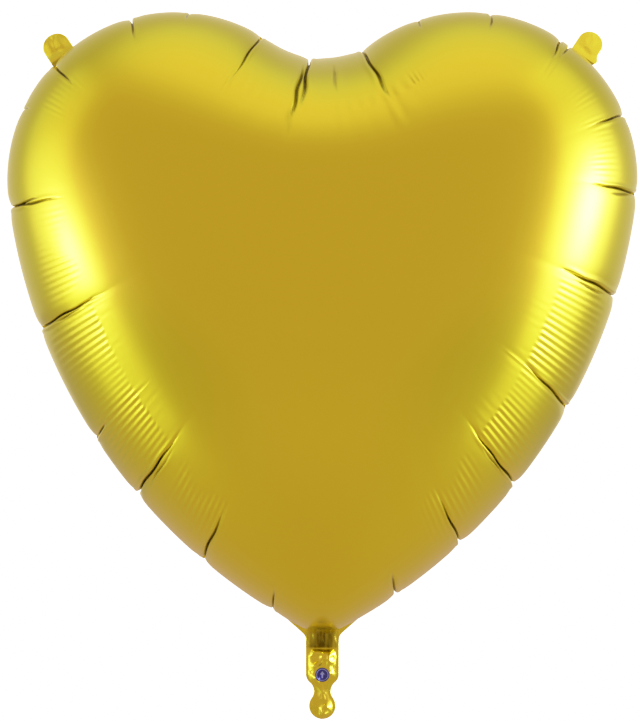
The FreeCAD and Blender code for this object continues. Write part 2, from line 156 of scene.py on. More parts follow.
def rim_polygon():
    """Points all round the outline, as x and z."""
    run = np.linspace(-HALF_RUN, HALF_RUN, RIM_SAMPLES, endpoint=False)
    x, z, _, _ = heart_point(run, np.zeros_like(run))
    return x, z


def mean_distance(x, z):
    """Mean-value distance from points inside the outline to the outline, in metres.

    The points are worked through in batches, which saves memory.
    """
    rim_x, rim_z = rim_polygon()
    flat_x, flat_z = np.ravel(x), np.ravel(z)
    result = np.empty_like(flat_x)
    for first in range(0, len(flat_x), BATCH):
        part = slice(first, first + BATCH)
        dx, dz = rim_x - flat_x[part, None], rim_z - flat_z[part, None]
        reach = np.hypot(dx, dz)
        next_dx, next_dz = np.roll(dx, -1, axis=1), np.roll(dz, -1, axis=1)
        next_reach = np.roll(reach, -1, axis=1)
        sine = dx * next_dz - dz * next_dx
        cosine = dx * next_dx + dz * next_dz
        half_tangent = sine / (reach * next_reach + cosine)
        total = np.sum(half_tangent * (1 / reach + 1 / next_reach), axis=1)
        result[part] = 2 / np.abs(total)
    return result.reshape(np.shape(x))


middle = np.linspace(0.20, 0.60, 81)
depths = mean_distance(np.zeros_like(middle), middle)
LARGEST = float(depths.max())
deepest = middle[depths.argmax()]
print(f"the deepest point is {LARGEST / MM:.0f} mm from the rim, at z = {deepest:.3f} m")


def swell(distance):
    """Height of the film over the weld plane for a mean distance to the rim."""
    share = np.clip(distance / LARGEST, 0, 1)
    level, rise, ease = SWELL_FIT
    return DEPTH * np.sqrt(share) * (level + rise * share + ease * share**2)


# %% [markdown]
# ## Where the film gathers
# The creases stand square to the rim, a hand's width apart, and each one runs a few centimetres
# up the pillow. Each is given by where it meets the rim, how far up it starts and stops, and how
# deep it is. A crease is a narrow slit with a low lip on one side. Where it reaches the rim, the
# film round it is pinched in as well. Between the creases, where the film is pulled tight along
# the rim, there are fine parallel ripples, 7 mm apart.

# %% Creases and ripples
# run from the notch (negative on the left), first and last inset, depth: all in mm
CREASES = [
    (-12, 0, 62, 4.6), (-17, 20, 98, 3.2), (-61, 0, 60, 3.4), (-138, 0, 12, 2.4),
    (-197, 0, 28, 3.6), (-288, 0, 36, 4.4), (-340, 0, 10, 2.4), (-438, 0, 36, 5.0),
    (-442, 18, 60, 3.0), (-562, 0, 80, 5.0), (-567, 26, 60, 2.4), (-680, 0, 22, 4.2),
    (-749, 0, 78, 5.0), (-755, 30, 62, 2.4), (-841, 0, 58, 4.6), (-924, 0, 24, 3.6),
    (10, 18, 46, 1.6), (38, 0, 68, 4.4), (101, 0, 14, 2.0), (172, 0, 22, 3.2),
    (250, 0, 28, 3.8), (258, 0, 22, 2.6), (347, 0, 42, 3.8), (424, 0, 54, 4.6),
    (430, 12, 34, 2.6), (528, 0, 70, 5.0), (534, 22, 52, 2.4), (645, 0, 66, 5.0),
    (738, 0, 82, 5.0), (744, 26, 60, 2.4), (816, 0, 56, 4.6), (897, 0, 26, 3.6),
]
# from run, to run, first and last inset, height: all in mm
RIPPLES = [
    (-760, -566, 6, 92, 0.36), (-860, -765, 14, 72, 0.28), (-560, -444, 16, 66, 0.17),
    (-340, -270, 16, 56, 0.22), (-82, -20, 38, 98, 0.34), (-10, 84, 46, 102, 0.36),
    (240, 330, 14, 66, 0.18), (330, 424, 18, 58, 0.20), (532, 748, 6, 92, 0.36),
    (752, 860, 14, 72, 0.28),
]
SLIT = 0.72 * MM
LIP, LIP_AWAY, LIP_TALL = 2.2 * MM, 3.2 * MM, 0.22
PINCH = 6.5 * MM
FULL_SHADE = 3.5 * MM
RIPPLE_PITCH = 7.0 * MM
RIPPLE_START, RIPPLE_EDGE = 16 * MM, 18 * MM
print(f"{len(CREASES)} creases and {len(RIPPLES)} fields of ripples on each film")


def smooth(low, high, number):
    """0 below low, 1 above high, and an easy slope between them."""
    share = np.clip((number - low) / (high - low), 0, 1)
    return share * share * (3 - 2 * share)


def gather(run, inset, wander):
    """How far the creases draw the film in, in metres, and the painted shade of each point, by how
    deep in a fold it is.
    """
    depth = np.zeros(np.broadcast(run, inset).shape)
    fold = np.zeros_like(depth)
    for number, (place, first, last, deep) in enumerate(CREASES):
        first, last, deep = first * MM, last * MM, deep * MM
        bend = wander * math.sin(number * 2.4) * np.sin(inset / last * 2.6 + number)
        bend = bend + 0.3 * wander * np.sin(inset / (5 * MM) + number * 3)
        off = run - place * MM - bend
        along = 1 - smooth(last * 0.35, last, inset)
        if first:
            along = along * smooth(first * 0.6, first * 1.3, inset)
        slit = np.exp(-np.abs(off / SLIT) ** 1.6)
        lip = LIP_TALL * np.exp(-(((off - LIP_AWAY * (-1) ** number) / LIP) ** 2))
        depth += deep * along * (1.5 * slit - lip)
        if not first:
            near = np.exp(-np.abs(off / PINCH) ** 1.4)
            depth += 0.6 * deep * near * np.exp(-inset / (0.4 * last))
        # painted shade along the crease's slit, full for creases deeper than FULL_SHADE
        shade = np.exp(-((off / (1.1 * SLIT)) ** 2)) * along
        fold = np.maximum(fold, shade * min(deep / FULL_SHADE, 1))
    return depth, fold


def ripple(run, inset, phase):
    """Fine parallel ripples, square to the rim."""
    height = np.zeros(np.broadcast(run, inset).shape)
    for number, (start, stop, first, last, tall) in enumerate(RIPPLES):
        start, stop, first, last = start * MM, stop * MM, first * MM, last * MM
        zone = smooth(start, start + RIPPLE_EDGE, run)
        zone = zone * (1 - smooth(stop - RIPPLE_EDGE, stop, run))
        far = last * (0.9 + 0.1 * np.sin(run * 97 + number))
        zone = zone * smooth(first, first + RIPPLE_START, inset)
        zone = zone * (1 - smooth(far - RIPPLE_EDGE, far, inset))
        uneven = 0.65 + 0.35 * np.sin(run * 61 + number + phase)
        wave = run / RIPPLE_PITCH * 2 * math.pi + 0.9 * np.sin(run * 37 + phase) + number
        height += tall * MM * uneven * zone * np.sin(wave)
    return height


# %% [markdown]
# ## One film of the heart
# A flat grid has as many columns as there are places round the rim, and one row for each ring.
# Moving its vertices wraps it round the outline, from the welded margin, over the bulge of the
# pillow and in towards the middle. The columns stand closer together where creases and ripples
# need them, and the rings where the film is steepest, at the rim. Further in, where the film is
# smooth, every three columns run together into one, and the hole in the middle is closed with
# a grid.

# %% Columns round the rim
COLUMNS = 1500
CREASE_CROWD, CREASE_REACH = 3.2, 4.5 * MM
RIPPLE_CROWD = 4.0


def column_runs():
    """Places round the rim, crowded where the film is finely shaped."""
    fine = np.linspace(-HALF_RUN, HALF_RUN, 20001)
    crowd = np.ones_like(fine)
    for place, _, _, _ in CREASES:
        crowd += CREASE_CROWD * np.exp(-(((fine - place * MM) / CREASE_REACH) ** 2))
    for start, stop, _, _, tall in RIPPLES:
        inside = (fine > start * MM) & (fine < stop * MM)
        crowd += RIPPLE_CROWD * min(tall, 0.2) * inside
    total = np.concatenate([[0], np.cumsum((crowd[1:] + crowd[:-1]) / 2)])
    return np.interp(np.linspace(0, total[-1], COLUMNS + 1), total, fine)


def seam_wave(run):
    """The welded margin doesn't lie quite flat: it flutters between the creases."""
    flutter = 0.7 * np.sin(run * 52) + 0.5 * np.sin(run * 91 + 1)
    return flutter * MM * smooth(0, 0.03, RIM_RUN - np.abs(run))


# %% The pillow, and the direction out of it at each point
RINGS = 46
INNER = 128 * MM
RING_CROWD = 2.2
BY_RIM = 3 * MM


def pillow(run, inset, facing):
    """Points of the smooth film, their heights, and the direction out of the outline.

    The sampled outline is too coarse within 3 mm of the rim, so the distance is eased in there.
    """
    x, z, inward_x, inward_z = heart_point(run + 0 * inset, inset + 0 * run)
    near_x, near_z, _, _ = heart_point(run, np.full_like(run, BY_RIM))
    near = mean_distance(near_x, near_z) / BY_RIM
    distance = np.where(inset < BY_RIM, inset * (1 + (near - 1) * inset / BY_RIM), 0)
    inner = (inset >= BY_RIM)[:, 0]
    distance[inner] = mean_distance(x[inner], z[inner])
    height = swell(distance)
    outward = np.stack([-inward_x, 0 * inward_x, -inward_z], axis=2)
    return np.stack([x, facing * height, z], axis=2), height, outward


def square_to(place, outward):
    """Directions square to the film. At the rim itself they lie in the plane of the weld."""
    out = np.cross(np.gradient(place, axis=1), np.gradient(place, axis=0))
    out /= np.linalg.norm(out, axis=2, keepdims=True) + 1e-12
    out *= np.sign(np.sum(out[3:6] * outward[3:6]))
    out[:2] = outward[:2]
    return out


# %% The welded margin and the smooth middle
FILM_GAP = 0.25 * MM
# how far across the weld each row lies, and how far the film stands off its middle there
MARGIN = ((1.0, 0.0), (0.94, FILM_GAP), (0.5, FILM_GAP))
CROWN_RINGS = 14
CROWN_RADIUS = 45 * MM
CROWN_Z = 0.40


def margin_rows(seam, outward, wave, facing):
    """Rows of the flat weld, from its cut edge in to the seam."""
    rows = []
    for across, gap in MARGIN:
        edge = seam + outward * (WELD - 0.5 * MM) * across
        edge[:, 1] = wave * (1 + across) + facing * gap
        rows.append(edge)
    return np.stack(rows)


def crown_rows(last, facing):
    """Rings that run from the innermost ring of the heart to a small circle in the middle."""
    turn = np.arctan2(last[:, 2] - CROWN_Z, last[:, 0])
    share = (np.arange(1, CROWN_RINGS + 1) / CROWN_RINGS)[:, None]
    x = last[:, 0] * (1 - share) + CROWN_RADIUS * np.cos(turn) * share
    z = last[:, 2] * (1 - share) + (CROWN_Z + CROWN_RADIUS * np.sin(turn)) * share
    return np.stack([x, facing * swell(mean_distance(x, z)), z], axis=2)


# %% All rows of one film
TUCK_HEIGHT = 15 * MM


def film_rows(facing, wander, phase):
    """x, y, z and painted shade of all grid vertices: margin rows first, then rings up the pillow.
    """
    run = column_runs()[None, :]
    ring = (np.arange(RINGS + 1) / RINGS)[:, None]
    inset = INNER * ring**RING_CROWD
    place, height, outward = pillow(run, inset, facing)
    out = square_to(place, outward)
    drawn_in, fold = gather(run, inset, wander)
    drawn_in = drawn_in - ripple(run, inset, phase)
    place -= drawn_in[:, :, None] * out
    settle = np.clip(1 - height / TUCK_HEIGHT, 0, 1)
    tuck = WELD * settle**2
    place -= tuck[:, :, None] * outward
    wave = seam_wave(run)[0]
    place[:, :, 1] += settle * wave + facing * FILM_GAP * settle

    margin = margin_rows(place[0], outward[0], wave, facing)
    rows = np.concatenate([margin, place, crown_rows(place[-1], facing)])
    shade = np.zeros(rows.shape[:2])
    shade[: len(margin)] = fold[0]
    shade[len(margin) : len(margin) + len(fold)] = fold
    return np.concatenate([rows, shade[:, :, None]], axis=2)


# %% From rows to a mesh
def grid_mesh(rows):
    """A bmesh grid moved onto rows of x, y, z and painted shade, which darkens folds and shaded
    film.
    """
    bm = bmesh.new()
    tall, wide = rows.shape[:2]
    bmesh.ops.create_grid(bm, x_segments=wide - 1, y_segments=tall - 1, size=0.5)
    shade = bm.verts.layers.float.new("painted_fold_shade")
    for vertex in bm.verts:
        column = round((vertex.co.x + 0.5) * (wide - 1))
        row = round((vertex.co.y + 0.5) * (tall - 1))
        vertex.co = rows[row, column, :3]
        vertex[shade] = rows[row, column, 3]
    return bm


def finished(bm, name, body, replaced):
    """Turns a bmesh into a piece of the balloon. A piece given no body is left unattached."""
    mesh = bpy.data.meshes.new(name)
    bm.to_mesh(mesh)
    bm.free()
    piece = bpy.data.objects.new(name, mesh)
    bpy.context.collection.objects.link(piece)
    mesh.polygons.foreach_set("use_smooth", [True] * len(mesh.polygons))
    if body:
        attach(piece, body)
    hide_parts(*replaced)
    print(f"{name}: {len(mesh.vertices)} vertices, {len(mesh.polygons)} faces")
    return piece


# %% Front and rear film of the heart
MERGE_FROM = 34
MERGED = 3


def close_middle(piece):
    """Fills the hole in the middle of a film with a grid of quads."""
    bpy.context.view_layer.objects.active = piece
    piece.select_set(True)
    bpy.ops.object.mode_set(mode="EDIT")
    bpy.ops.mesh.select_mode(type="EDGE")
    bpy.ops.mesh.select_all(action="DESELECT")
    bpy.ops.object.mode_set(mode="OBJECT")
    bm = bmesh.new()
    bm.from_mesh(piece.data)
    loop = [e for e in bm.edges if e.is_boundary and abs(e.verts[0].co.y) > DEPTH / 2]
    for edge in loop:
        edge.select_set(True)
    bm.to_mesh(piece.data)
    bm.free()
    bpy.ops.object.mode_set(mode="EDIT")
    bpy.ops.mesh.fill_grid(span=len(loop) // 4)
    bpy.ops.object.mode_set(mode="OBJECT")
    piece.select_set(False)
    return len(loop)


def heart_film(name, facing, wander, phase, replaced):
    """One film: the welded margin, the pillow with its creases, and the smooth middle."""
    rows = film_rows(facing, wander, phase)
    first = MERGE_FROM + len(MARGIN)
    together = MERGED * ((np.arange(COLUMNS + 1) + 1) // MERGED)
    rows[first:] = rows[first:, np.clip(together, 0, COLUMNS)]
    bm = grid_mesh(rows)
    bmesh.ops.remove_doubles(bm, verts=bm.verts, dist=1e-6)
    piece = finished(bm, name, "heart", replaced)
    placed = len(piece.data.vertices)
    edges = close_middle(piece)
    bm = bmesh.new()
    bm.from_mesh(piece.data)
    bm.verts.ensure_lookup_table()
    crown = bm.verts[placed:]
    flat = np.array([v.co for v in crown])
    height = swell(mean_distance(flat[:, 0], flat[:, 2]))
    for vertex, tall in zip(crown, height):
        vertex.co.y = facing * tall
    bmesh.ops.recalc_face_normals(bm, faces=bm.faces)
    if sum(f.normal.y * f.calc_area() for f in bm.faces) * facing < 0:
        bmesh.ops.reverse_faces(bm, faces=bm.faces)
    for face in bm.faces:
        face.smooth = True
    bm.to_mesh(piece.data)
    print(f"{name}: closed over {edges} edges, {len(bm.calc_loop_triangles())} triangles")
    bm.free()
    return piece


front_film = heart_film("front_film", -1, 2.0 * MM, 0.0, ["front_panel"])
rear_film = heart_film("rear_film", 1, -3.0 * MM, 1.7, ["rear_panel"])

# %% [markdown]
# ## Neck, tail end and hanging tabs
# These are the flat parts of the same two films. On the real balloon they are welded along
# their edges and crumpled by hands, so they are never quite flat. Each is a flattened tube: a
# grid whose columns go across the front film and back across the rear one. A width that
# changes along the strip gives the outline, and noise folded into ridges gives the crumples.
# Real film is about 0.05 mm thick. Here each film lies at least 0.42 mm from the middle, or the
# valve films inside the neck would show through it, and it comes nearer only at the weld.


# %% A crumpled strip of two films
STRIP_COLUMNS = 56
FILM_HALF = 0.3 * MM
VALVE_COVER = 0.42 * MM
THINNEST = 0.05 * MM
REAR_SEED = 40


def crumple(across, along, size, seed):
    """Folded noise: sharp ridges like those of crumpled foil, from about -1 to 1."""
    first = noise.noise(Vector((across / size, along / size * 0.7, seed)))
    second = noise.noise(Vector((across / size * 2.1, along / size * 1.7, seed + 9)))
    return (1 - 2.6 * abs(first)) * 0.85 + (1 - 2.6 * abs(second)) * 0.15


def film_height(across, along, half, puff, seed):
    """How far one film stands out from the middle of the strip, from the weld to the channel."""
    inside = half - abs(across)
    channel = float(smooth(0.5 * MM, 10 * MM, inside))
    fine = 0.05 * MM * crumple(across, along, 6 * MM, seed) * float(smooth(0, 2 * MM, inside))
    bent = puff * (0.8 + 1.2 * crumple(across, along, 12 * MM, seed + 3)) * channel
    sway = 2.4 * noise.noise(Vector((0, along / (14 * MM), seed)))
    pleat = 0.4 * puff * abs(math.sin(across / (3.6 * MM) + sway)) * channel
    return max(FILM_HALF + bent + pleat + fine, VALVE_COVER)


def strip(name, width_at, puff_at, painted_shade_at, levels, seed, place_at, closed_end, replaced):
    """A flattened tube. Its rows are at the given levels, and place_at puts each point in space."""
    turn = np.linspace(0, 2 * math.pi, 2 * STRIP_COLUMNS + 1)
    rows = np.empty((len(levels), 2 * STRIP_COLUMNS + 1, 4))
    for row, along in enumerate(levels):
        half = max(width_at(along), THINNEST)
        for column, angle in enumerate(turn):
            across = -half * math.cos(angle)
            facing = -1 if math.sin(angle) >= 0 else 1
            side_seed = seed + REAR_SEED * (facing > 0)
            tall = film_height(across, along, half, puff_at(along), side_seed)
            depth = facing * tall * min(abs(math.sin(angle)) * 3, 1)
            rows[row, column, :3] = place_at(across, depth, along)
            # each point's painted shade, from the strip's own shade function
            rows[row, column, 3] = painted_shade_at(across, along)
    rows[:, -1] = rows[:, 0]
    if closed_end:
        rows[-1] = rows[-1].mean(axis=0)
    bm = grid_mesh(rows)
    bmesh.ops.remove_doubles(bm, verts=bm.verts, dist=1e-7)
    bmesh.ops.recalc_face_normals(bm, faces=bm.faces)
    return finished(bm, name, None, replaced)


def towards_tip(start, stop, count):
    """Levels from start to a rounded tip at stop, crowded at the tip."""
    return start + (stop - start) * np.sin(np.linspace(0, math.pi / 2, count))


def joint_named(name):
    """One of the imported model's hinges."""
    return next(j for j in frame["joints"] if j["name"] == name)


# %% The outline of the neck and the tail end
WAIST_HALF = 8.3 * MM
WAIST_RADIUS = 11.2 * MM
SHOULDER_RADIUS = 11.0 * MM
TAIL_RADIUS = 13.0 * MM
WAIST_X = WAIST_HALF + WAIST_RADIUS
TAIL_Z = -math.sqrt((TAIL_RADIUS + WAIST_RADIUS) ** 2 - WAIST_X**2)
SHOULDER_X = NECK_HALF - SHOULDER_RADIUS
SHOULDER_Z = math.sqrt((SHOULDER_RADIUS + WAIST_RADIUS) ** 2 - (WAIST_X - SHOULDER_X) ** 2)
TAIL_JOIN = TAIL_Z * WAIST_RADIUS / (WAIST_RADIUS + TAIL_RADIUS)
SHOULDER_JOIN = SHOULDER_Z * WAIST_RADIUS / (WAIST_RADIUS + SHOULDER_RADIUS)
WEB_Z, WEB_EASE, WEB_SLOPE = 54.5 * MM, 1.5 * MM, 1.15
print(f"the neck is {2 * NECK_HALF / MM:.0f} mm wide, its waist {2 * WAIST_HALF / MM:.1f} mm")


def neck_width(z):
    """Half width of the neck at a height, from the tail end up to the web under the heart."""
    if z < TAIL_JOIN:
        return math.sqrt(max(TAIL_RADIUS**2 - (z - TAIL_Z) ** 2, 0))
    if z < SHOULDER_JOIN:
        return WAIST_X - math.sqrt(WAIST_RADIUS**2 - z**2)
    if z < SHOULDER_Z:
        return SHOULDER_X + math.sqrt(SHOULDER_RADIUS**2 - (z - SHOULDER_Z) ** 2)
    web = (z - WEB_Z) * WEB_SLOPE / WEB_EASE
    return NECK_HALF + WEB_EASE * math.log1p(math.exp(min(web, 60)))


# %% How the neck bulges and pleats, and its painted shadow
FOLD_Z = joint_named("neck_fold")["pos_m"][2]
FLAT, BULGE = 0.1, 2.5
PLEAT_TALL, PLEAT = 0.8 * MM, 1.0 * MM


def neck_puff(z):
    """The neck is pinched at its fold line and at the waist, and swells between them."""
    fold = math.exp(-(((z - FOLD_Z) / (2.5 * MM)) ** 2))
    waist = math.exp(-((z / (5 * MM)) ** 2))
    gathered = 1 - 0.7 * float(smooth(FOLD_Z, FOLD_Z + 5 * MM, z))
    under_heart = 1 - float(smooth(56 * MM, 68 * MM, z))
    return (FLAT + BULGE * (1 - fold) * (1 - 0.35 * waist)) * MM * gathered * under_heart


def neck_place(across, depth, z):
    """Under the heart the film gathers into narrow upright pleats."""
    zone = float(smooth(43 * MM, 48 * MM, z)) * (1 - float(smooth(54 * MM, 64 * MM, z)))
    pleat = 0.5 + 0.5 * math.sin(across / PLEAT + 3 * math.sin(z / (7 * MM)))
    return (across, depth + math.copysign(PLEAT_TALL * pleat * zone, depth), z)


def neck_painted_shade(across, z):
    """The gathered film between the fold line and the heart lies in its own shadow, which is
    painted.
    """
    zone = float(smooth(FOLD_Z - 1 * MM, FOLD_Z + 2 * MM, z))
    zone = zone * (1 - 0.5 * float(smooth(55 * MM, 62 * MM, z)))
    streak = 0.4 * noise.noise(Vector((across / (2.5 * MM), z / (12 * MM), 5.0)))
    return zone * min(max(0.95 - 0.9 * (across / NECK_HALF) ** 2 + streak, 0), 1)


# %% [markdown]
# ## Films that fold at a hinge
# The neck folds against the heart, and the tail end folds at the waist. A film can't be cut
# there, so each strip crosses its fold line, and is left without a body of its own.

# %% Films of the neck and the tail end
PIECE_CUT = 10 * MM
WEB_TOP = 86 * MM
NECK_SEED = 3.0
neck_films = strip(
    "neck_films", neck_width, neck_puff, neck_painted_shade, np.linspace(PIECE_CUT, WEB_TOP, 110),
    NECK_SEED, neck_place, False, ["neck_front_ply", "neck_rear_ply"],
)
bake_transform(neck_films)
tail_films = strip(
    "tail_films", neck_width, neck_puff, neck_painted_shade,
    towards_tip(PIECE_CUT, TAIL_Z - TAIL_RADIUS, 64),
    NECK_SEED, neck_place, True, ["tail_end_front_ply", "tail_end_rear_ply"],
)
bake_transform(tail_films)

# %% [markdown]
# ## The hanging tabs
# A tab with a rounded head stands on the shoulder of each lobe, for a hook or a thread. It leans
# backwards, the left one is crumpled and curled, and the right one is nearly smooth and flares
# at its root. Each is a strip laid along its fold line.

# %% The hanging tabs
TAB_ROOT = -9 * MM
TAB_SEED = 20.0
LEAN_FROM, LEAN, LEAN_MORE = 4 * MM, 0.60, 1.5
CURL = 14.0
BUCKLE, BUCKLE_SIZE = 1.4 * MM, 24 * MM
FLARE = 0.25


def tab_puff(along):
    """A tab is welded flat at its root, and barely crumpled further out."""
    return 0.3 * MM * float(smooth(0, 8 * MM, along))


def tab_painted_shade(across, along):
    """The root of a tab is tucked into the heart's rim, and its shadow there is painted."""
    return 0.4 * (1 - float(smooth(-4.5 * MM, -3.0 * MM, along)))


def hanging_tab(label, half, head, crumpled, flare):
    """One tab: half its width, how far up its round head starts, its crumples and its flare."""
    fold = joint_named(f"{label}_tab_fold")
    corner, axis = Vector(fold["pos_m"]), Vector(fold["axis"]).normalized()
    outward = Vector((-axis.z, 0, axis.x))

    def width(along):
        return math.sqrt(max(half**2 - max(along - head, 0) ** 2, 0))

    def place(across, depth, along):
        out = max(along + LEAN_FROM, 0)
        lean = LEAN * out + LEAN_MORE * out**2
        curl = crumpled * CURL * min(across + 3 * MM, 0) ** 2 * float(smooth(0, 6 * MM, along))
        ridges = crumple(across, along, BUCKLE_SIZE, TAB_SEED + 1)
        bent = crumpled * BUCKLE * ridges * float(smooth(-3 * MM, 5 * MM, along))
        if across > 0:
            across += flare * FLARE * across * math.exp(-(((along + 1 * MM) / (4 * MM)) ** 2))
        off = Vector((0, depth + lean + curl + bent, 0))
        return corner + axis * across + outward * along + off

    tab = strip(
        f"{label}_tab_films", width, tab_puff, tab_painted_shade, towards_tip(TAB_ROOT, head + half, 72),
        TAB_SEED, place, True, [f"{label}_tab_front_ply", f"{label}_tab_rear_ply"],
    )
    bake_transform(tab)


hanging_tab("left", 13.6 * MM, 8.3 * MM, crumpled=1.0, flare=0.0)
hanging_tab("right", 12.5 * MM, 12 * MM, crumpled=0.3, flare=1.0)

# %% [markdown]
# ## The printed badge
# A small round mark is printed on the neck. Ink has no thickness to speak of, but as a thin disc
# of its own it can follow the crumples and carry its own colour. It is a grid wrapped into
# rings, the same way as the films, and each point is laid on the front film.

# %% The badge
BADGE_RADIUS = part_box("neck_badge")[1].x
BADGE_Z = (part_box("neck_badge")[0].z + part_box("neck_badge")[1].z) / 2
INK = 0.12 * MM
BADGE_RINGS, BADGE_COLUMNS = 16, 73
reach = np.concatenate([np.linspace(0, 1, BADGE_RINGS), [1, 0]]) * BADGE_RADIUS
lift = np.concatenate([np.full(BADGE_RINGS, -INK), [INK, INK]])
rows = np.zeros((len(reach), BADGE_COLUMNS, 4))
for row, (radius, above) in enumerate(zip(reach, lift)):
    for column, angle in enumerate(np.linspace(0, 2 * math.pi, BADGE_COLUMNS)):
        x, z = radius * math.cos(angle), BADGE_Z + radius * math.sin(angle)
        tall = film_height(x, z, neck_width(z), neck_puff(z), NECK_SEED)
        rows[row, column, :3] = neck_place(x, above - tall, z)
bm = grid_mesh(rows)
bmesh.ops.remove_doubles(bm, verts=bm.verts, dist=1e-7)
bmesh.ops.recalc_face_normals(bm, faces=bm.faces)
badge = finished(bm, "printed_badge", "neck", ["neck_badge"])

# %% [markdown]
# ## The foil
# The film is clear plastic, lacquered yellow and backed with a thin coat of aluminium, so it
# mirrors like metal through a yellow varnish. The layers are far too thin to be seen apart, so
# one metal with a yellow base colour and a clear coat stands for them all. The mirror is a soft
# one, because the film is very slightly rough. Deep in a fold the film reflects only itself,
# again and again, and looks dark brown. That shade is painted: the painted shade on the mesh
# mixes a dark brown into the base colour, and takes the coat away. Colours are written as hex
# values and turned to linear light by one function, and one small function adds each node.


# %% Helpers for materials
def colour(code):
    """A linear colour from an sRGB hex value such as 'c8a020'."""
    shares = [int(code[i : i + 2], 16) / 255 for i in (0, 2, 4)]
    return [s / 12.92 if s <= 0.04045 else ((s + 0.055) / 1.055) ** 2.4 for s in shares] + [1.0]


def add(tree, kind, settings=(), links=()):
    """Adds a node, sets its properties or inputs, and joins inputs to other nodes' outputs."""
    node = tree.nodes.new(kind)
    for key, setting in dict(settings).items():
        if isinstance(key, str) and hasattr(node, key):
            setattr(node, key, setting)
        else:
            node.inputs[key].default_value = setting
    for key, output in dict(links).items():
        tree.links.new(output, node.inputs[key])
    return node


def new_material(name):
    """An empty node material, and its tree."""
    material = bpy.data.materials.new(name)
    material.use_nodes = True
    material.node_tree.nodes.clear()
    print("material:", name)
    return material, material.node_tree


# %% Metallised film, satin and glossy
FOIL = colour("f2e330")
# a dark brown that is mixed into the foil as painted shade, deep in creases and on shaded film
FOLD_SHADE_PAINT = colour("6f5d07")
CLOUD = 60 * MM
LACQUER_IOR = 1.5


def foil_material(name, roughness, coat, coat_roughness, grain_mm, grain, crinkle_mm, crinkle):
    """Vacuum-metallised film under a yellow lacquer, with a fine grain and soft crinkles.

    The film's real grain is far finer than a millimetre. It is drawn coarse enough to show.
    """
    material, tree = new_material(name)
    place = {"Vector": add(tree, "ShaderNodeTexCoord").outputs["Object"]}
    fine = add(tree, "ShaderNodeTexNoise", {"Scale": 1 / (grain_mm * MM), "Detail": 2.0}, place)
    soft = add(tree, "ShaderNodeTexNoise", {"Scale": 1 / (crinkle_mm * MM), "Detail": 3.0}, place)
    cloud = add(tree, "ShaderNodeTexNoise", {"Scale": 1 / CLOUD, "Detail": 2.0}, place)
    uneven = {"To Min": roughness - 0.01, "To Max": roughness + 0.01}
    rough = add(tree, "ShaderNodeMapRange", uneven, {"Value": cloud.outputs["Fac"]})
    waves = {"Strength": crinkle, "Distance": 1 * MM}
    wide = add(tree, "ShaderNodeBump", waves, {"Height": soft.outputs["Fac"]})
    bump = add(
        tree, "ShaderNodeBump", {"Strength": grain, "Distance": 0.1 * MM},
        {"Height": fine.outputs["Fac"], "Normal": wide.outputs["Normal"]},
    )
    # painted shade: the mesh's shade mixes the dark brown into the base colour and takes the coat
    # away
    shade = add(tree, "ShaderNodeAttribute", {"attribute_name": "painted_fold_shade"}).outputs["Fac"]
    tone = add(tree, "ShaderNodeMix", {"data_type": "RGBA", 6: FOIL, 7: FOLD_SHADE_PAINT}, {0: shade})
    in_fold = {"To Min": coat, "To Max": 0.1 * coat}
    lacquer = add(tree, "ShaderNodeMapRange", in_fold, {"Value": shade})
    shader = add(
        tree, "ShaderNodeBsdfPrincipled",
        {"Metallic": 1.0, "Coat Roughness": coat_roughness, "Coat IOR": LACQUER_IOR},
        {
            "Base Color": tone.outputs[2], "Coat Weight": lacquer.outputs["Result"],
            "Roughness": rough.outputs["Result"], "Normal": bump.outputs["Normal"],
        },
    )
    add(tree, "ShaderNodeOutputMaterial", {}, {"Surface": shader.outputs["BSDF"]})
    return material


# Blown tight, the film keeps the matt grain of its rolling: broad, soft highlights.
satin_foil = foil_material(
    "metallised_film_satin", roughness=0.288, coat=0.28, coat_roughness=0.20,
    grain_mm=2.5, grain=0.02, crinkle_mm=30, crinkle=0.03,
)
# Slack and crumpled, it shows small bright facets with sharper edges.
gloss_foil = foil_material(
    "metallised_film_glossy", roughness=0.24, coat=0.5, coat_roughness=0.15,
    grain_mm=1.5, grain=0.01, crinkle_mm=6, crinkle=0.05,
)
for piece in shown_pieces():
    if piece.name in frame["nodes"] or piece is badge:
        continue
    tight = piece in (front_film, rear_film)
    piece.data.materials.append(satin_foil if tight else gloss_foil)

# %% [markdown]
# ## Ink, and the valve inside the neck
# The badge's print is drawn from object coordinates: the distance from its centre gives the
# disc and the pale ring, and plain sums of x and z give an upright arrow. The valve films are
# clear polyethylene, slightly milky. Their print is a dark, matt stripe, laid down in fine dots.
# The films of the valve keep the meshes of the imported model, and only get a finish.


# %% The print on the badge: a pale ring with an upright arrow
def maths(tree, operation, first, second=0.0):
    """One Math node. Each side is a number or another node's output."""
    sides = {0: first, 1: second}
    numbers = {k: v for k, v in sides.items() if isinstance(v, (int, float))}
    outputs = {k: v for k, v in sides.items() if not isinstance(v, (int, float))}
    return add(tree, "ShaderNodeMath", {"operation": operation, **numbers}, outputs).outputs[0]


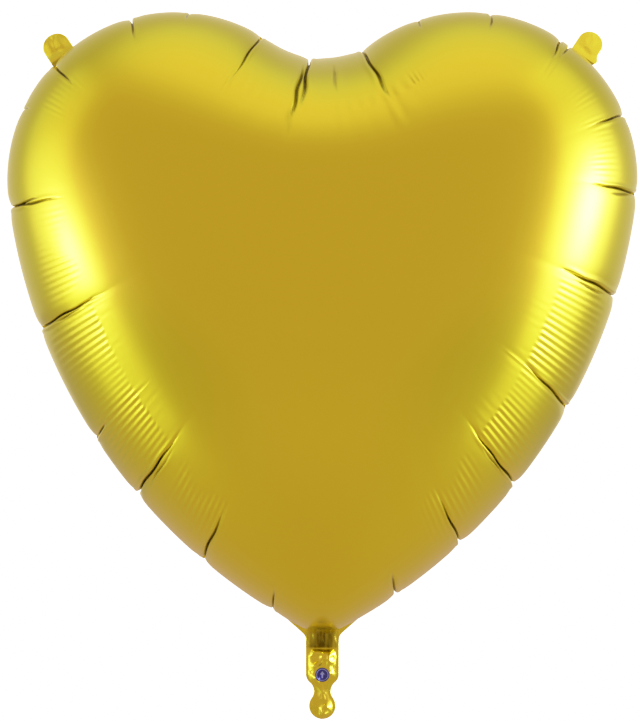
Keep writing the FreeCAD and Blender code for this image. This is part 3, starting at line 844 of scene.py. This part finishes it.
RING_RADIUS, RING_HALF = 5.6 * MM, 0.35 * MM
ARROW_TIP, ARROW_SLOPE, ARROW_FOOT = 3.6 * MM, 0.8, 0.6 * MM
STEM_HALF, STEM_Z, STEM_REACH = 0.8 * MM, -1.2 * MM, 2.2 * MM
badge_ink, tree = new_material("screen_printed_ink")
place = {"Vector": add(tree, "ShaderNodeTexCoord").outputs["Object"]}
axes = add(tree, "ShaderNodeSeparateXYZ", {}, place)
across = maths(tree, "ABSOLUTE", axes.outputs["X"])
rise = maths(tree, "SUBTRACT", axes.outputs["Z"], BADGE_Z)
tall = maths(tree, "ABSOLUTE", rise)
squares = (maths(tree, "POWER", side, 2.0) for side in (across, tall))
reach = maths(tree, "SQRT", maths(tree, "ADD", *squares))
ring = maths(tree, "COMPARE", reach, RING_RADIUS)
ring.node.inputs[2].default_value = RING_HALF
head_width = maths(tree, "MULTIPLY", maths(tree, "SUBTRACT", ARROW_TIP, rise), ARROW_SLOPE)
under_slope = maths(tree, "LESS_THAN", across, head_width)
head = maths(tree, "MULTIPLY", under_slope, maths(tree, "GREATER_THAN", rise, ARROW_FOOT))
on_stem = maths(tree, "COMPARE", rise, STEM_Z)
on_stem.node.inputs[2].default_value = STEM_REACH
stem = maths(tree, "MULTIPLY", maths(tree, "LESS_THAN", across, STEM_HALF), on_stem)
pale = maths(tree, "MAXIMUM", ring, maths(tree, "MAXIMUM", head, stem))

# %% Screen-printed ink: a thin glossy layer, slightly speckled by the screen's mesh
SPECKLE = 0.5 * MM
blues = {"data_type": "RGBA", 6: colour("2b2a86"), 7: colour("a9b6e2")}
ink = add(tree, "ShaderNodeMix", blues, {0: pale})
speckle = add(tree, "ShaderNodeTexNoise", {"Scale": 1 / SPECKLE, "Detail": 2.0}, place)
speckle = speckle.outputs["Fac"]
sheen = add(tree, "ShaderNodeMapRange", {"To Min": 0.25, "To Max": 0.4}, {"Value": speckle})
pitted = {"Strength": 0.1, "Distance": 0.05 * MM}
rough_print = add(tree, "ShaderNodeBump", pitted, {"Height": speckle})
shader = add(
    tree, "ShaderNodeBsdfPrincipled", {"Coat Weight": 0.4, "Coat Roughness": 0.1},
    {
        "Base Color": ink.outputs[2], "Roughness": sheen.outputs["Result"],
        "Normal": rough_print.outputs["Normal"],
    },
)
add(tree, "ShaderNodeOutputMaterial", {}, {"Surface": shader.outputs["BSDF"]})
badge.data.materials.append(badge_ink)

# %% Clear valve film: milky, with the faint draw marks of a blown film
HAZE = 4 * MM
valve_film, tree = new_material("clear_polyethylene_film")
place = {"Vector": add(tree, "ShaderNodeTexCoord").outputs["Object"]}
haze = add(tree, "ShaderNodeTexNoise", {"Scale": 1 / HAZE, "Detail": 3.0}, place).outputs["Fac"]
milk = add(tree, "ShaderNodeMapRange", {"To Min": 0.35, "To Max": 0.6}, {"Value": haze})
draw = add(tree, "ShaderNodeBump", {"Strength": 0.2, "Distance": 0.2 * MM}, {"Height": haze})
shader = add(
    tree, "ShaderNodeBsdfPrincipled", {"Base Color": colour("eceee8"), "Roughness": 0.2},
    {"Alpha": milk.outputs["Result"], "Normal": draw.outputs["Normal"]},
)
add(tree, "ShaderNodeOutputMaterial", {}, {"Surface": shader.outputs["BSDF"]})

# %% Release print: dark, matt and dotted, so that the valve's channel can't weld shut
DOTS = 0.8 * MM
release_print, tree = new_material("matt_release_ink")
place = {"Vector": add(tree, "ShaderNodeTexCoord").outputs["Object"]}
dots = add(tree, "ShaderNodeTexVoronoi", {"Scale": 1 / DOTS}, place)
depth = add(tree, "ShaderNodeMapRange", {"From Max": 0.6}, {"Value": dots.outputs["Distance"]})
darks = {"data_type": "RGBA", 6: colour("1d2230"), 7: colour("39404f")}
ink = add(tree, "ShaderNodeMix", darks, {0: depth.outputs["Result"]})
shader = add(tree, "ShaderNodeBsdfPrincipled", {"Roughness": 0.7}, {"Base Color": ink.outputs[2]})
add(tree, "ShaderNodeOutputMaterial", {}, {"Surface": shader.outputs["BSDF"]})

for name in frame["nodes"]:
    node = bpy.data.objects[name]
    finish = release_print if "print" in name else valve_film if "valve" in name else satin_foil
    for slot in node.material_slots:
        slot.material = finish
print("valve nodes with their own finish:", [n for n in frame["nodes"] if "valve" in n])

# %% [markdown]
# ## The floor
# The balloon hangs over a plain pale floor, a flat disc. Foil mirrors whatever is round it, so
# the floor colours the whole lower half of the heart. It is a little pinker close by, paler
# further away, and greyer out at the sides, where the flanks of the heart look.

# %% Floor
FLOOR_Z = -0.60
FLOOR_RADIUS = 4.8
NEAR, FAR = 1.0, 2.4
WINGS_FROM, WINGS_TO = 0.7, 1.7
bm = bmesh.new()
bmesh.ops.create_circle(bm, cap_ends=True, segments=96, radius=FLOOR_RADIUS)
bmesh.ops.translate(bm, verts=bm.verts, vec=(0, 0, FLOOR_Z))
floor_mesh = bpy.data.meshes.new("floor")
bm.to_mesh(floor_mesh)
bm.free()
floor = bpy.data.objects.new("floor", floor_mesh)
bpy.context.collection.objects.link(floor)
print(f"floor: a disc of {FLOOR_RADIUS} m at z = {FLOOR_Z} m")

# %% Floor paint
floor_paint, tree = new_material("studio_floor_paint")
place = add(tree, "ShaderNodeTexCoord").outputs["Object"]
away = add(tree, "ShaderNodeVectorMath", {"operation": "LENGTH"}, {0: place}).outputs["Value"]
spread = add(tree, "ShaderNodeMapRange", {"From Min": NEAR, "From Max": FAR}, {"Value": away})
near_far = {"data_type": "RGBA", 6: colour("e0ccc6"), 7: colour("efdbd4")}
tone = add(tree, "ShaderNodeMix", near_far, {0: spread.outputs["Result"]})
axes = add(tree, "ShaderNodeSeparateXYZ", {}, {0: place})
aside = add(tree, "ShaderNodeMath", {"operation": "ABSOLUTE"}, {0: axes.outputs["X"]}).outputs[0]
side = {"From Min": WINGS_FROM, "From Max": WINGS_TO}
edge = add(tree, "ShaderNodeMapRange", side, {"Value": aside})
wings = {"data_type": "RGBA", 7: colour("cfccb8")}
shaded = add(tree, "ShaderNodeMix", wings, {0: edge.outputs["Result"], 6: tone.outputs[2]})
paint = add(tree, "ShaderNodeBsdfPrincipled", {"Roughness": 0.8}, {"Base Color": shaded.outputs[2]})
add(tree, "ShaderNodeOutputMaterial", {}, {"Surface": paint.outputs["BSDF"]})
floor.data.materials.append(floor_paint)

# %% [markdown]
# ## The room
# Gold foil looks like gold because of what it mirrors. The room could be built from walls and
# lamps, but the world can hold its light as smooth ramps of tone, each along one direction, and
# such ramps give no noise. One ramp runs from behind the balloon to the camera's side: dim
# round the middle, and bright only straight behind, which edges the balloon with light. One is
# a pale ceiling. Two narrow ones are the glows of lamps, low on the left and level on the right.
# The camera itself sees plain white instead.

# %% Tones of the room
# share of the way from straight behind the balloon (0) to straight in front of it (1), and tone
ROOM_TONES = [
    (0.00, (1.05, 0.95, 1.00)), (0.02, (0.86, 0.78, 0.82)), (0.06, (0.62, 0.58, 0.56)),
    (0.20, (0.50, 0.47, 0.42)), (0.34, (0.44, 0.40, 0.39)), (0.46, (0.49, 0.43, 0.43)),
    (0.57, (0.54, 0.42, 0.43)), (0.68, (0.560, 0.412, 0.43)), (1.00, (0.560, 0.412, 0.43)),
]
CEILING = (0.10, -0.05, 0.9937)
CEILING_TONES = [
    (0.00, (0.0, 0.0, 0.0)), (0.85, (0.0, 0.0, 0.0)), (0.91, (0.12, 0.15, 0.15)),
    (0.95, (0.27, 0.33, 0.33)), (1.00, (0.34, 0.36, 0.37)),
]
# The glows' strength towards their middle. The lamps are rich in blue, most of which the yellow
# lacquer takes away, so that what is left looks white.
LAMP = (1.0, 1.08, 2.5)
LEFT_GLOW = [
    (0.0, 0.0), (0.885, 0.0), (0.92, 0.14), (0.95, 0.24), (0.972, 0.32), (0.984, 0.6),
    (0.990, 2.2), (0.996, 6.5), (1.0, 9.0),
]
RIGHT_GLOW = [
    (0.0, 0.0), (0.86, 0.0), (0.90, 0.06), (0.93, 0.15), (0.955, 0.22), (0.970, 0.45),
    (0.980, 1.7), (0.988, 4.2), (0.996, 7.5), (1.0, 9.5),
]
WHITE = 1.6
world = bpy.data.worlds.new("studio")
bpy.context.scene.world = world
world.use_nodes = True
tree = world.node_tree
tree.nodes.clear()
direction = add(tree, "ShaderNodeTexCoord").outputs["Generated"]


def tones(axis, stops):
    """A ramp of tones along one direction, from straight away from it to straight along it."""
    operation = {"operation": "DOT_PRODUCT", 1: axis}
    along = add(tree, "ShaderNodeVectorMath", operation, {0: direction}).outputs["Value"]
    share = add(tree, "ShaderNodeMapRange", {"From Min": -1.0}, {"Value": along})
    ramp = add(tree, "ShaderNodeValToRGB", {}, {"Fac": share.outputs["Result"]})
    for position, tone in stops[1:-1]:
        ramp.color_ramp.elements.new(position)
    for element, (position, tone) in zip(ramp.color_ramp.elements, stops):
        element.position, element.color = position, (*tone, 1)
    return ramp.outputs["Color"]


def towards(azimuth, elevation):
    """A direction. Azimuth 0 is towards the camera and 90 to its right, both in degrees."""
    turn, rise = math.radians(azimuth), math.radians(elevation)
    return (math.sin(turn) * math.cos(rise), -math.cos(turn) * math.cos(rise), math.sin(rise))


def glow(azimuth, elevation, stops):
    """The soft glow of a lamp in one direction."""
    coloured = [(at, tuple(power * part for part in LAMP)) for at, power in stops]
    return tones(towards(azimuth, elevation), coloured)


# %% The light of the room, and plain white for the camera
sources = [
    tones(CEILING, CEILING_TONES), glow(-78, -13, LEFT_GLOW), glow(83, 0, RIGHT_GLOW),
]
total = tones((0.0, -1.0, 0.0), ROOM_TONES)
for source in sources:
    both = {0: total, 1: source}
    total = add(tree, "ShaderNodeVectorMath", {"operation": "ADD"}, both).outputs["Vector"]
seen = add(tree, "ShaderNodeLightPath").outputs["Is Camera Ray"]
room = add(tree, "ShaderNodeBackground", {"Strength": 1.0}, {"Color": total})
plain = add(tree, "ShaderNodeBackground", {"Color": (1, 1, 1, 1), "Strength": WHITE})
sides = {0: seen, 1: room.outputs[0], 2: plain.outputs[0]}
shown = add(tree, "ShaderNodeMixShader", {}, sides)
add(tree, "ShaderNodeOutputWorld", {}, {"Surface": shown.outputs[0]})
print(f"world: {len(sources) + 1} ramps of tone")

# %% [markdown]
# ## Softboxes
# Two tall softboxes at the sides light the flanks of the heart, and two small ones lower down
# brighten its lower corners, where the floor hides the world. Their beams are narrowed, so
# that little of their light falls on the floor. A slightly green light shows the lacquer as
# lemon yellow, where a white one would show it as orange.

# %% Softboxes
BEAM = 130
AIM = (0, 0, 0.36)
TALL_TINT, LEFT_TINT, RIGHT_TINT = (0.80, 1.0, 0.76), (0.74, 1.0, 0.68), (0.76, 1.0, 0.70)


def softbox(name, azimuth, elevation, distance, size, watts, tint):
    """A rectangular area light of a width and height, that faces the balloon's middle."""
    light = bpy.data.lights.new(name, "AREA")
    light.shape, (light.size, light.size_y) = "RECTANGLE", size
    light.energy, light.spread, light.color = watts, math.radians(BEAM), tint
    lamp = bpy.data.objects.new(name, light)
    bpy.context.collection.objects.link(lamp)
    back = Vector(towards(azimuth, elevation))
    lamp.location = Vector(AIM) + back * distance
    lamp.rotation_euler = back.to_track_quat("Z", "Y").to_euler()
    lamp.visible_camera = False
    print(f"{name}: {size[0]} x {size[1]} m, {distance} m away, {watts} W")


softbox("softbox_left", -90, 9, 2.4, (1.9, 4.2), 5.4, TALL_TINT)
softbox("softbox_right", 85, 14, 2.4, (2.2, 4.4), 7.0, TALL_TINT)
softbox("softbox_low_left", -74, -24, 1.5, (1.0, 0.66), 0.46, LEFT_TINT)
softbox("softbox_low_right", 80, -23, 1.5, (1.0, 0.66), 0.44, RIGHT_TINT)

# %% [markdown]
# ## The camera
# The camera looks straight at the front from a few metres away, with a long lens. A plain
# render clips bright light hard, which leaves flat patches on the foil. A camera rolls it off,
# so the view gets the same kind of curve: it is straight up to 0.78, and bends over to reach
# white at the strength that the background has.

# %% Camera
CAMERA_DISTANCE = 3.2
CAMERA_X, CAMERA_Z = -0.0023, 0.324
VIEW_HEIGHT = 0.7066
camera_data = bpy.data.cameras.new("camera")
camera_data.lens = camera_data.sensor_width * CAMERA_DISTANCE / VIEW_HEIGHT
camera = bpy.data.objects.new("camera", camera_data)
bpy.context.collection.objects.link(camera)
camera.location = (CAMERA_X, -CAMERA_DISTANCE, CAMERA_Z)
camera.rotation_euler = (math.pi / 2, 0, 0)
bpy.context.scene.camera = camera
print(f"camera: a {camera_data.lens:.0f} mm lens at {CAMERA_DISTANCE} m")

# %% Roll-off of the highlights
BRIGHTEST = 2.0
# light that comes in, and how bright it is shown
ROLL_OFF = ((0.3, 0.3), (0.6, 0.6), (0.78, 0.78), (1.0, 0.905), (1.3, 0.975), (WHITE, 1.0))
view = bpy.context.scene.view_settings
view.view_transform = "Standard"
view.use_curve_mapping = True
view.curve_mapping.clip_max_x = BRIGHTEST
film = view.curve_mapping.curves[3]
film.points[1].location = (BRIGHTEST, 1.0)
for light_in, shown in ROLL_OFF:
    film.points.new(light_in, shown)
for point in film.points:
    point.handle_type = "AUTO_CLAMPED"
view.curve_mapping.update()
print(f"view curve: {len(film.points)} points")
